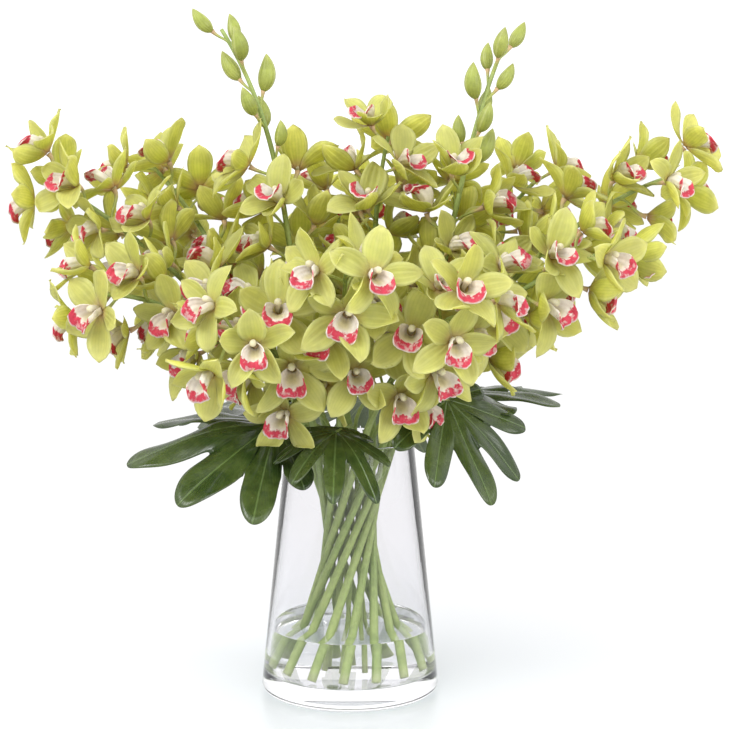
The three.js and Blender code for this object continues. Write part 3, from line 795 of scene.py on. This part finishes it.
def soft_mottle():
    """Uneven growth: two sizes of noise on the piece's own place, between a low and a high factor."""
    inputs = {"Scale": 60.0, "Low": 0.85, "High": 1.1}
    tree, given, result = new_group("soft_mottle", inputs, {"Factor": "NodeSocketFloat"})
    noise = noise_node(tree, Detail=4, Roughness=0.6)
    tree.links.new(given.outputs["Scale"], noise.inputs["Scale"])
    spread = fade(tree, noise.outputs[0], 0.3, 0.7)
    node = tree.nodes.new("ShaderNodeMapRange")
    tree.links.new(spread, node.inputs["Value"])
    tree.links.new(given.outputs["Low"], node.inputs["To Min"])
    tree.links.new(given.outputs["High"], node.inputs["To Max"])
    tree.links.new(node.outputs["Result"], result.inputs["Factor"])
    return tree


GROUPS = dict(veins=growth_veins(), mottle=soft_mottle())


def use_group(tree, key, **values):
    node = tree.nodes.new("ShaderNodeGroup")
    node.node_tree = GROUPS[key]
    for name, value in values.items():
        node.inputs[name].default_value = value
    return node.outputs


def start_material(name, **sockets):
    """A material with a Principled shader, its fixed sockets set, and the growth and tone of the piece."""
    material = bpy.data.materials.new(name)
    material.use_nodes = True
    tree = material.node_tree
    shader = tree.nodes["Principled BSDF"]
    for key, value in sockets.items():
        shader.inputs[key.replace("_", " ")].default_value = value

    def attribute(key):
        node = tree.nodes.new("ShaderNodeAttribute")
        node.attribute_name = key
        return node.outputs["Fac"]

    return material, tree, shader, *growth_place(tree), attribute


def grey(tree, value):
    """A number as a grey colour, for a multiply."""
    node = tree.nodes.new("ShaderNodeCombineColor")
    for i in range(3):
        tree.links.new(value, node.inputs[i])
    return node.outputs[0]


def mottled(tree, ground, scale, low, high):
    """A colour made uneven by the mottle."""
    factor = use_group(tree, "mottle", Scale=scale, Low=low, High=high)["Factor"]
    return blend_colours(tree, 1.0, ground, grey(tree, factor), "MULTIPLY")


def bump(tree, shader, height, distance, strength=0.6):
    node = tree.nodes.new("ShaderNodeBump")
    node.inputs["Strength"].default_value = strength
    node.inputs["Distance"].default_value = distance
    tree.links.new(height, node.inputs["Height"])
    tree.links.new(node.outputs[0], shader.inputs["Normal"])


def translucent(tree, shader, colour, share):
    """Part of the light comes through: the Principled shader mixed with a Translucent one."""
    through = tree.nodes.new("ShaderNodeBsdfTranslucent")
    tree.links.new(colour, through.inputs["Color"])
    blend = tree.nodes.new("ShaderNodeMixShader")
    blend.inputs[0].default_value = share
    tree.links.new(shader.outputs[0], blend.inputs[1])
    tree.links.new(through.outputs[0], blend.inputs[2])
    tree.links.new(blend.outputs[0], tree.nodes["Material Output"].inputs["Surface"])


def tepal_material():
    """Lime green tissue: flushed brown-pink at the base, paler and yellower at the margin, finely veined."""
    material, tree, shader, along, across, attribute = start_material(
        "tepal_tissue", Roughness=0.48, Specular_IOR_Level=0.4
    )
    ground = ramp(
        tree,
        along,
        [
            (0.0, (0.62, 0.40, 0.22)),
            (0.14, (0.64, 0.60, 0.14)),
            (0.4, (0.66, 0.68, 0.14)),
            (0.8, (0.74, 0.745, 0.21)),
            (1.0, (0.80, 0.79, 0.34)),
        ],
    )
    yellow = blend_colours(tree, 0.6, ground, (0.80, 0.76, 0.20))
    ground = blend_colours(tree, attribute("tone"), ground, yellow)
    off = math_node(tree, "ABSOLUTE", math_node(tree, "SUBTRACT", across, 0.5))
    margin = times(tree, fade(tree, off, 0.24, 0.5), 0.62)
    ground = blend_colours(tree, margin, ground, (0.84, 0.84, 0.42))
    veins = use_group(tree, "veins", Count=4.5, Sharpness=5.0, Wander=0.03)
    ground = blend_colours(tree, times(tree, veins["Mask"], 0.28), ground, (0.48, 0.56, 0.06))
    ground = mottled(tree, ground, 70.0, 0.86, 1.08)
    flush = use_group(tree, "mottle", Scale=28.0, Low=0.0, High=1.0)
    blush = times(tree, fade(tree, along, 0.3, 0.0), flush["Factor"])
    ground = blend_colours(tree, times(tree, blush, 0.75), ground, (0.66, 0.36, 0.27))
    under = times(tree, attribute("under"), 0.4)
    ground = blend_colours(tree, under, ground, (0.78, 0.78, 0.40))
    tree.links.new(ground, shader.inputs["Base Color"])
    bump(tree, shader, veins["Height"], 0.0004)
    translucent(tree, shader, ground, 0.56)
    return material


def lip_material():
    """Cream tissue, yellow in the throat, with a band of crimson blotches inside a narrow white margin. The
    column is cream too, yellower at its foot and at its cap."""
    material, tree, shader, along, across, attribute = start_material(
        "lip_tissue", Roughness=0.5, Specular_IOR_Level=0.35
    )
    off = math_node(tree, "ABSOLUTE", math_node(tree, "SUBTRACT", across, 0.5))
    cream = blend_colours(tree, attribute("tone"), (0.86, 0.78, 0.68), (0.92, 0.88, 0.82))
    throat = times(tree, fade(tree, along, 0.75, 0.4), fade(tree, off, 0.3, 0.05))
    throat = times(tree, throat, fade(tree, along, 0.0, 0.2))
    ground = blend_colours(tree, times(tree, throat, 0.7), cream, (0.66, 0.58, 0.22))
    noise = noise_node(tree, Scale=230, Detail=2)
    edge = math_node(tree, "MULTIPLY_ADD", math_node(tree, "SUBTRACT", noise.outputs[0], 0.5), 0.42, along)
    band = times(tree, fade(tree, edge, 0.66, 0.74), fade(tree, along, 1.0, 0.93))
    blotch = fade(tree, noise.outputs[0], 0.34, 0.5)
    band = times(tree, band, math_node(tree, "MULTIPLY_ADD", blotch, 0.45, 0.55))
    crimson = blend_colours(tree, noise.outputs[0], (0.46, 0.012, 0.045), (0.80, 0.085, 0.13))
    ground = blend_colours(tree, band, ground, crimson)
    on_column = fade(tree, along, 0.0, -0.03)
    column = ramp(
        tree,
        math_node(tree, "ADD", along, 1.0),
        [(0.0, (0.55, 0.50, 0.28)), (0.45, (0.76, 0.70, 0.58)), (1.0, (0.80, 0.76, 0.50))],
    )
    ground = blend_colours(tree, on_column, ground, column)
    ground = mottled(tree, ground, 130.0, 0.86, 1.06)
    tree.links.new(ground, shader.inputs["Base Color"])
    veins = use_group(tree, "veins", Count=7.0, Sharpness=4.0, Wander=0.03)
    bump(tree, shader, veins["Height"], 0.0004)
    translucent(tree, shader, ground, 0.25)
    return material


def bud_material():
    """Green buds with three paler seams and a browner foot."""
    material, tree, shader, along, across, attribute = start_material(
        "bud_skin", Roughness=0.42, Specular_IOR_Level=0.4
    )
    ground = ramp(
        tree,
        along,
        [
            (0.0, (0.24, 0.20, 0.06)),
            (0.15, (0.24, 0.27, 0.05)),
            (0.6, (0.27, 0.32, 0.06)),
            (1.0, (0.34, 0.36, 0.10)),
        ],
    )
    yellow = times(tree, attribute("tone"), 0.4)
    ground = blend_colours(tree, yellow, ground, (0.38, 0.40, 0.09))
    seam = math_node(tree, "COSINE", times(tree, across, 6 * math.pi))
    pale = times(tree, fade(tree, seam, 0.8, 1.0), 0.45)
    ground = blend_colours(tree, pale, ground, (0.46, 0.48, 0.18))
    ground = mottled(tree, ground, 110.0, 0.82, 1.08)
    tree.links.new(ground, shader.inputs["Base Color"])
    veins = use_group(tree, "veins", Count=15.0, Sharpness=3.0, Wander=0.02)
    bump(tree, shader, veins["Height"], 0.0003, 0.4)
    return material


def stem_material(name, pale, deep, end):
    """Matt green skin with fine lengthwise streaks. end is where along the growth another colour comes in, as
    two shares of its length, and that colour."""
    material, tree, shader, along, _, attribute = start_material(name, Roughness=0.55)
    veins = use_group(tree, "veins", Count=6.0, Sharpness=1.5, Wander=0.15)
    streak = use_group(tree, "mottle", Scale=45.0, Low=0.0, High=1.0)
    tone = times(tree, attribute("tone"), 0.3)
    share = math_node(tree, "MULTIPLY_ADD", streak["Factor"], 0.6, tone)
    ground = blend_colours(tree, share, pale, deep)
    ground = blend_colours(tree, fade(tree, along, *end[0]), ground, end[1])
    ground = blend_colours(tree, times(tree, veins["Mask"], 0.25), ground, deep)
    ground = mottled(tree, ground, 240.0, 0.86, 1.06)
    tree.links.new(ground, shader.inputs["Base Color"])
    bump(tree, shader, veins["Height"], 0.0003, 0.5)
    return material


def leaf_material():
    """Deep green and glossy above, with a paler rib down each lobe and faint slanting side veins, and lighter
    and duller below."""
    material, tree, shader, beside, reach, attribute = start_material("leaf_blade", Specular_IOR_Level=0.5)
    off = math_node(tree, "ABSOLUTE", math_node(tree, "SUBTRACT", beside, 0.5))
    mottle = use_group(tree, "mottle", Scale=26.0, Low=0.0, High=1.0)
    ground = blend_colours(tree, mottle["Factor"], (0.022, 0.044, 0.009), (0.058, 0.088, 0.018))
    slant = math_node(tree, "MULTIPLY_ADD", off, -1.15, reach)
    wave = math_node(tree, "ABSOLUTE", math_node(tree, "SINE", times(tree, slant, 62.0)))
    side_vein = times(tree, fade(tree, wave, 0.16, 0.0), fade(tree, reach, 0.1, 0.25))
    ground = blend_colours(tree, times(tree, side_vein, 0.35), ground, (0.10, 0.17, 0.05))
    rib = fade(tree, off, 0.022, 0.006)
    ground = blend_colours(tree, times(tree, rib, 0.5), ground, (0.13, 0.20, 0.06))
    below = blend_colours(tree, rib, (0.085, 0.115, 0.045), (0.16, 0.20, 0.08))
    under = attribute("under")
    ground = blend_colours(tree, fade(tree, under, 0.4, 0.6), ground, below)
    ground = mottled(tree, ground, 160.0, 0.85, 1.1)
    tree.links.new(ground, shader.inputs["Base Color"])
    rough = math_node(tree, "MULTIPLY_ADD", mottle["Factor"], 0.14, 0.16)
    rough = math_node(tree, "MULTIPLY_ADD", under, 0.25, rough)
    tree.links.new(rough, shader.inputs["Roughness"])
    height = math_node(tree, "MAXIMUM", rib, times(tree, side_vein, 0.6))
    bump(tree, shader, times(tree, height, -1.0), 0.0008, 0.7)
    return material


def clear_material(name, index, tint, shade):
    """A clear body: the Principled shader as glass of this tint. Shadow and diffuse rays pass straight through
    it, dimmed by shade, so that lamps light what stands behind."""
    material, tree, shader, *_ = start_material(
        name, Base_Color=(*tint, 1), Roughness=0.0, Transmission_Weight=1.0, IOR=index
    )
    path = tree.nodes.new("ShaderNodeLightPath")
    through = tree.nodes.new("ShaderNodeBsdfTransparent")
    through.inputs["Color"].default_value = (*shade, 1)
    blend = tree.nodes.new("ShaderNodeMixShader")
    soft = math_node(tree, "MAXIMUM", path.outputs["Is Shadow Ray"], path.outputs["Is Diffuse Ray"])
    tree.links.new(soft, blend.inputs[0])
    tree.links.new(shader.outputs[0], blend.inputs[1])
    tree.links.new(through.outputs[0], blend.inputs[2])
    tree.links.new(blend.outputs[0], tree.nodes["Material Output"].inputs["Surface"])
    return material


# ---- The bouquet ------------------------------------------------------------------------------------------


def chosen(rows, keep):
    return {key: value[keep] for key, value in rows.items()}


growth = stations()
is_bloom = ~growth["bud"]
growth["hub"][is_bloom] = spread_hubs(chosen(growth, is_bloom))
face_blooms(growth)
growth["facing"][growth["bud"]] = unit(growth["way"] + UP * 0.35)[growth["bud"]]
all_blooms = chosen(growth, is_bloom)

tepal_tissue, lip_tissue = tepal_material(), lip_material()
bud_skin, leaf_blade = bud_material(), leaf_material()
pale_foot, brown_end = ((0.03, 0.0), (0.46, 0.50, 0.24)), ((0.55, 0.95), (0.50, 0.34, 0.18))
stem_skin = stem_material("stem_skin", (0.37, 0.44, 0.14), (0.20, 0.28, 0.065), pale_foot)
pedicel_skin = stem_material("pedicel_skin", (0.50, 0.55, 0.17), (0.32, 0.38, 0.09), brown_end)
clear_glass = clear_material("clear_glass", 1.4, (0.925, 0.92, 0.935), (0.95, 0.965, 0.97))
clear_water = clear_material("clear_water", 1.33, (0.99, 0.995, 0.99), (0.975, 0.985, 0.985))


def split_part(part, owner, wanted):
    """The items of a batch that belong to one spike, as a part of their own."""
    points, faces, uv, extras = part
    items = np.flatnonzero(owner == wanted)
    size = len(points) // len(owner)
    keep = (items[:, None] * size + np.arange(size)).ravel()
    faces = [copies(f[: len(f) // len(owner)], len(items), size) for f in faces]
    return points[keep], faces, uv[keep], {key: value[keep] for key, value in extras.items()}


tepals, lips, columns = tepal_part(all_blooms), lip_part(all_blooms), column_part(all_blooms)
pedicels = pedicel_part(growth)
five = np.repeat(all_blooms["spike"], 5)  # the spike that each tepal is on
for slot, spike in enumerate(SPIKES):
    name = spike["name"]
    flowers, stem = f"flowers_{name}", f"stem_{name}"
    make_piece(f"tepals_{name}", [split_part(tepals, five, slot)], [flowers], tepal_tissue)
    lip = [split_part(part, all_blooms["spike"], slot) for part in (lips, columns)]
    make_piece(f"lips_{name}", lip, [flowers], lip_tissue)
    make_piece(f"stalk_{name}", [stem_part(slot)], [flowers, stem], stem_skin)
    own_pedicels = [split_part(pedicels, growth["spike"], slot)]
    make_piece(f"pedicels_{name}", own_pedicels, [flowers], pedicel_skin)
    if spike["buds"]:
        buds = bud_part(chosen(growth, growth["bud"] & (growth["spike"] == slot)))
        make_piece(f"buds_{name}", [buds], [flowers], bud_skin)

for leaf in LEAVES:
    name = leaf["name"]
    make_piece(f"blade_{name}", [leaf_part(leaf)], [f"leaf_{name}"], leaf_blade)
    make_piece(f"leafstalk_{name}", [petiole_part(leaf)], [f"petiole_{name}"], stem_skin)

make_piece("glass_vase", [turned(vase_profile())], ["vase"], clear_glass)
make_piece("vase_water", [turned(water_profile())], ["water"], clear_water)


# ---- Studio -----------------------------------------------------------------------------------------------


def studio_floor():
    """A wide white floor that grows as bright as the background away from the vase."""
    mesh = bpy.data.meshes.new("studio_floor")
    far = 9.0
    mesh.from_pydata([(-far, -far, 0), (far, -far, 0), (far, far, 0), (-far, far, 0)], [], [(0, 1, 2, 3)])
    floor = bpy.data.objects.new("studio_floor", mesh)
    floor.location.z = -0.0004
    bpy.context.scene.collection.objects.link(floor)
    material = bpy.data.materials.new("studio_white")
    material.use_nodes = True
    tree = material.node_tree
    tree.nodes["Principled BSDF"].inputs["Base Color"].default_value = (0.70, 0.72, 0.75, 1)
    tree.nodes["Principled BSDF"].inputs["Roughness"].default_value = 0.35
    place = tree.nodes.new("ShaderNodeTexCoord")
    length = tree.nodes.new("ShaderNodeVectorMath")
    length.operation = "LENGTH"
    tree.links.new(place.outputs["Object"], length.inputs[0])
    share = fade(tree, length.outputs["Value"], 0.16, 0.55)
    glow = tree.nodes.new("ShaderNodeEmission")
    glow.inputs["Strength"].default_value = 1.05
    blend = tree.nodes.new("ShaderNodeMixShader")
    tree.links.new(share, blend.inputs[0])
    tree.links.new(tree.nodes["Principled BSDF"].outputs[0], blend.inputs[1])
    tree.links.new(glow.outputs[0], blend.inputs[2])
    tree.links.new(blend.outputs[0], tree.nodes["Material Output"].inputs["Surface"])
    mesh.materials.append(material)


def area_light(name, place, target, size, energy):
    """A square lamp at place that shines towards target."""
    data = bpy.data.lights.new(name, "AREA")
    data.size = size
    data.energy = energy
    light = bpy.data.objects.new(name, data)
    light.location = place
    away = np.array(place) - np.array(target)
    down = math.atan2(math.hypot(away[0], away[1]), away[2])
    light.rotation_euler = (down, 0, math.atan2(away[0], -away[1]))
    bpy.context.scene.collection.objects.link(light)


studio_floor()
area_light("key_light", (-1.3, -1.7, 2.2), (0, 0, 0.4), 1.5, 52)
area_light("fill_light", (1.8, -1.4, 1.0), (0, 0, 0.4), 1.5, 24)
world = bpy.data.worlds.new("studio_world")
world.use_nodes = True
world.node_tree.nodes["Background"].inputs["Color"].default_value = (1, 1, 1, 1)
world.node_tree.nodes["Background"].inputs["Strength"].default_value = 1.25
bpy.context.scene.world = world
bpy.context.scene.view_settings.view_transform = "Standard"

camera = bpy.data.objects.new("camera", bpy.data.cameras.new("camera"))
camera.data.lens = 106.7
camera.location = (0.0145, -2.1, 0.633)
camera.rotation_euler = ((90 - 8.25) * DEG, 0, 0)
bpy.context.scene.collection.objects.link(camera)
bpy.context.scene.camera = camera

bpy.context.view_layer.update()
